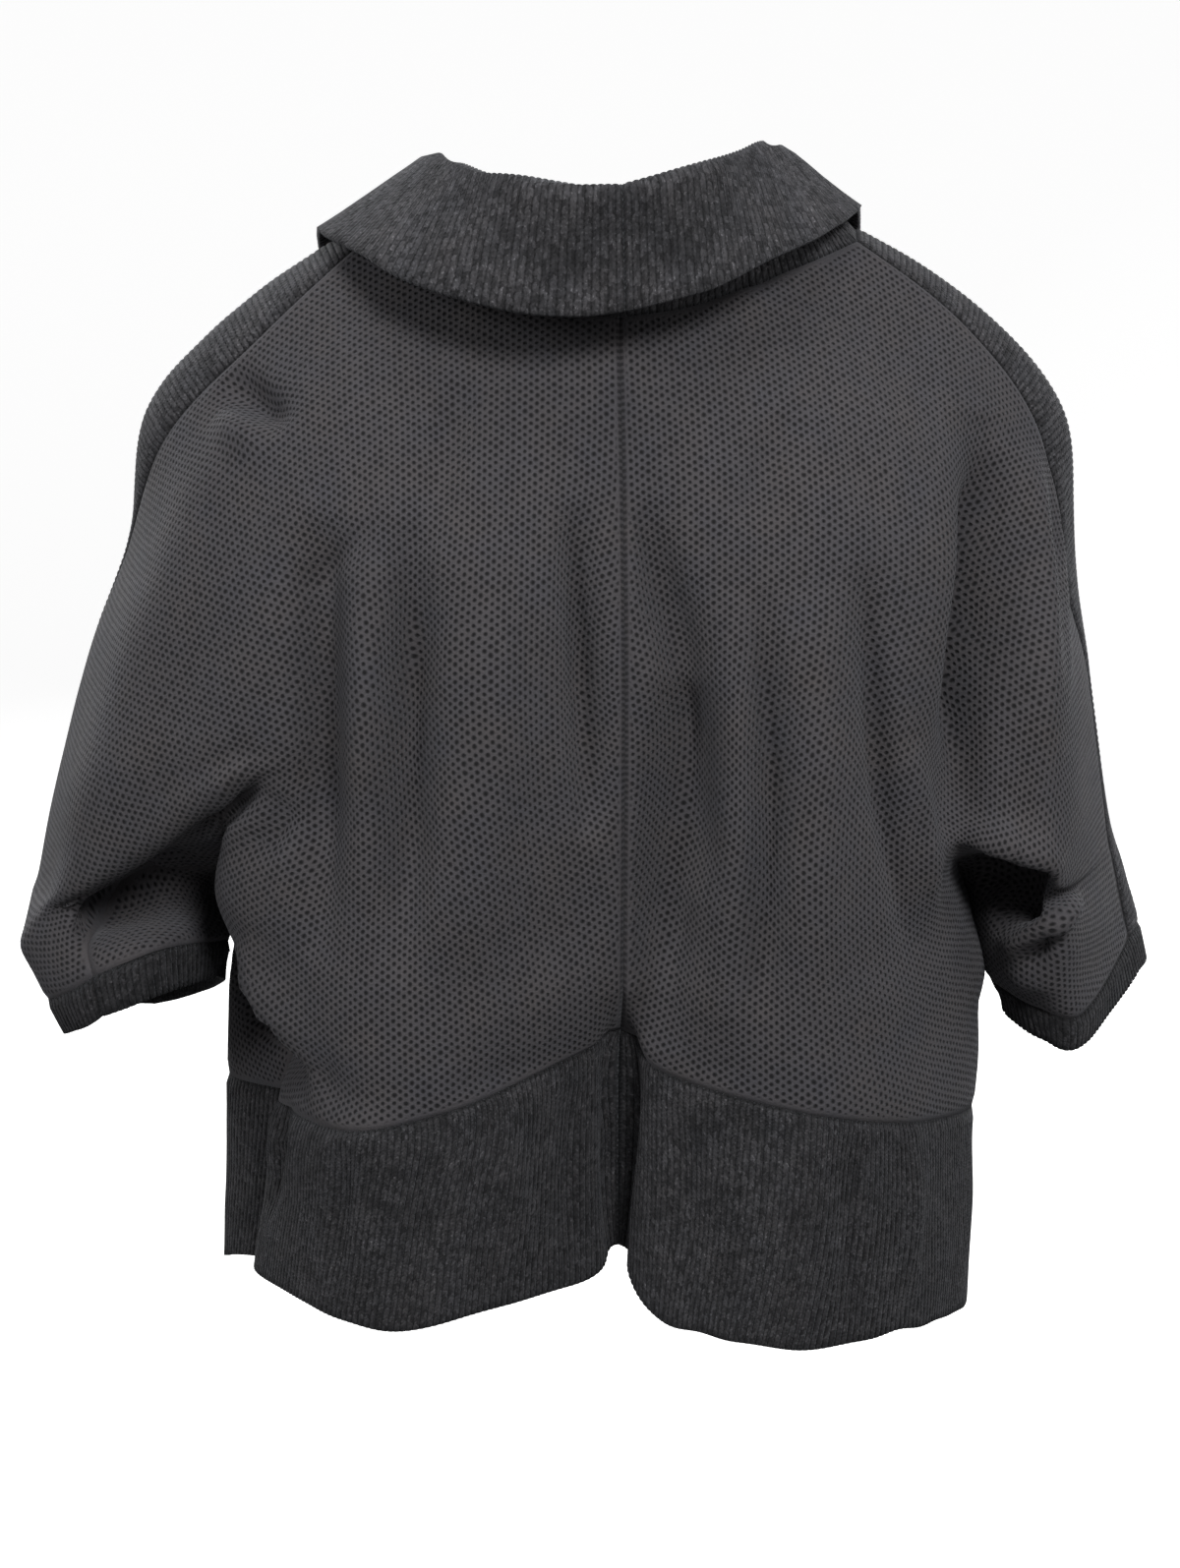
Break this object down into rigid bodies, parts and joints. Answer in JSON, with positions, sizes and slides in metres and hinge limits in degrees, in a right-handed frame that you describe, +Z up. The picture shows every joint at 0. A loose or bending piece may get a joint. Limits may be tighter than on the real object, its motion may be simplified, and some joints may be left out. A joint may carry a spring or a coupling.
{
  "type": "shawl collar cardigan",
  "caption": "Cropped open-front cardigan in fine mesh knit with dolman sleeves to the elbow, ribbed shawl collar, shoulder bands, cuffs and deep hem band, shown worn and hollow.",
  "frame": {"origin": "centre of the neck opening, level with the collar seam at the centre back, where the wearer's neck and shoulders hold the garment up", "axes": "+X to the wearer's left, +Y towards the wearer's back, +Z up"},
  "size_m": [0.524, 0.2688, 0.5278],
  "materials": {
    "mesh_knit": "matt charcoal honeycomb mesh knit",
    "rib_knit": "matt heathered charcoal rib knit"
  },
  "bodies": {
    "root": {"back_left": "mesh_knit", "back_right": "mesh_knit", "collar_left": "rib_knit", "collar_right": "rib_knit", "cuff_left": "rib_knit", "cuff_right": "rib_knit", "front_left": "mesh_knit", "front_right": "mesh_knit", "hem_back_left": "rib_knit", "hem_back_right": "rib_knit", "hem_front_left": "rib_knit", "hem_front_right": "rib_knit", "shoulder_band_left": "rib_knit", "shoulder_band_right": "rib_knit"}
  },
  "joints": []
}
